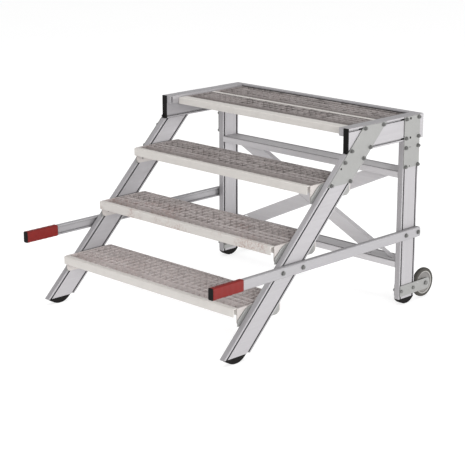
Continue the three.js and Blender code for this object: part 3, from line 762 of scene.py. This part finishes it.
rail_low, rail_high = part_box("platform_rail_right")
leg_low, leg_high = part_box("rear_leg_right")
leg_slots = (leg_low.y + SLOT_INSET, leg_high.y - SLOT_INSET)
LEG_ROWS = (129 * MM, 208 * MM)  # rows of nuts below the rail, from the rail's top
SPARE_HOLE = 151 * MM  # plugged hole of the front gusset, from the rail's top
END_SHEET = 1.6 * MM
END_BOLT_UP = 42 * MM  # bolts of a tread's end plate, from its lower edge
for side, sign in SIDES:
    plugs = gusset_fittings(side, sign)
    name = f"rear_rail_end_{side}"
    place(name, rear_rail_end(sign).mesh(name, 30), (ALUMINIUM_Y,), "frame")
    name = f"slot_plugs_{side}"
    place(name, plugs.mesh(name, 30), (BLACK_PLASTIC,), "frame")
    low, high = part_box(f"handle_bar_{side}")
    face = high.x if sign > 0 else low.x
    z = (low.z + high.z) / 2
    stringer_low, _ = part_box(f"stringer_{side}")
    flight = stringer_low.y - stringer_low.z  # the stringer's front edge, less its height
    centres = [(face, y, z) for y in (*leg_slots, flight + z + FRONT_SLOT, flight + z + REAR_SLOT)]
    bolt_group(f"handle_bolts_{side}", centres, sign, DOMED_HEAD)
    for step in STEPS:
        low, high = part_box(f"tread_{step}_end_plate_{side}")
        face = low.x if sign > 0 else high.x
        z = low.z + END_BOLT_UP
        centres = [(face, flight + z + slot, z) for slot in (FRONT_SLOT, REAR_SLOT)]
        bolt_group(f"tread_{step}_bolts_{side}", centres, -sign, SMALL_HEAD)


# ---------- floor, light and camera ----------
FLOOR_REACH = 60.0
FLOOR_TILES = 16
FLOOR_GLOW = 0.74
CENTRE = (0.0, 0.0, 0.4)


def stage_floor():
    shell = Shell()
    edges = [FLOOR_REACH * (2 * k / FLOOR_TILES - 1) for k in range(FLOOR_TILES + 1)]
    for x0, x1 in zip(edges, edges[1:]):
        for y0, y1 in zip(edges, edges[1:]):
            shell.face(((x0, y0, 0), (x1, y0, 0), (x1, y1, 0), (x0, y1, 0)))
    floor = bpy.data.objects.new("floor", shell.mesh("floor"))
    bpy.context.scene.collection.objects.link(floor)
    look = Look("pale_floor", 0.9, 0.0, 0.2)
    cloud = look.noise(look.mapped(), 1.5, 3.0, 0.5)
    look.colour(look.mix(cloud, (0.40, 0.40, 0.40), (0.42, 0.42, 0.42)))
    look.shader.inputs["Emission Color"].default_value = (1.0, 1.0, 1.0, 1.0)
    look.shader.inputs["Emission Strength"].default_value = FLOOR_GLOW
    floor.data.materials.append(look.material)
    floor.location.z = -0.0005
    floor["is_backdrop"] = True


def soft_light(name, where, aim, size, watts):
    lamp = bpy.data.lights.new(name, "AREA")
    lamp.shape = "SQUARE"
    lamp.size = size
    lamp.energy = watts
    holder = bpy.data.objects.new(name, lamp)
    bpy.context.scene.collection.objects.link(holder)
    holder.location = where
    direction = Vector(aim) - Vector(where)
    holder.rotation_euler = direction.to_track_quat("-Z", "Y").to_euler()


stage_floor()
world = bpy.data.worlds.new("studio")
bpy.context.scene.world = world
world.use_nodes = True
world.node_tree.nodes["Background"].inputs["Color"].default_value = (1.0, 1.0, 1.0, 1.0)
world.node_tree.nodes["Background"].inputs["Strength"].default_value = 0.5
soft_light("key", (14.7, -8.2, 5.0), CENTRE, 4.5, 1030)
soft_light("fill", (11.5, -12.5, 2.5), CENTRE, 3.0, 900)
soft_light("side", (18.0, -3.2, 1.1), CENTRE, 2.0, 500)
soft_light("rear_side", (13.0, 9.0, 1.1), (-0.3, 0.1, 0.35), 2.0, 1020)
soft_light("overhead", (0.0, 0.0, 5.5), CENTRE, 4.0, 140)

LENS = 113.88
CAMERA_PLACE = (4.1451, -4.1978, 1.9375)
CAMERA_DOWN = 15.52
CAMERA_ROUND = 44.72
camera_data = bpy.data.cameras.new("camera")
camera_data.sensor_width = 36.0
camera_data.lens = LENS
camera_data.clip_end = 100.0
camera = bpy.data.objects.new("camera", camera_data)
bpy.context.scene.collection.objects.link(camera)
camera.location = CAMERA_PLACE
camera.rotation_euler = (math.radians(90 - CAMERA_DOWN), 0.0, math.radians(CAMERA_ROUND))
bpy.context.scene.camera = camera
bpy.context.scene.view_settings.view_transform = "Standard"

# ---------- sizes ----------
low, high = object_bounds()
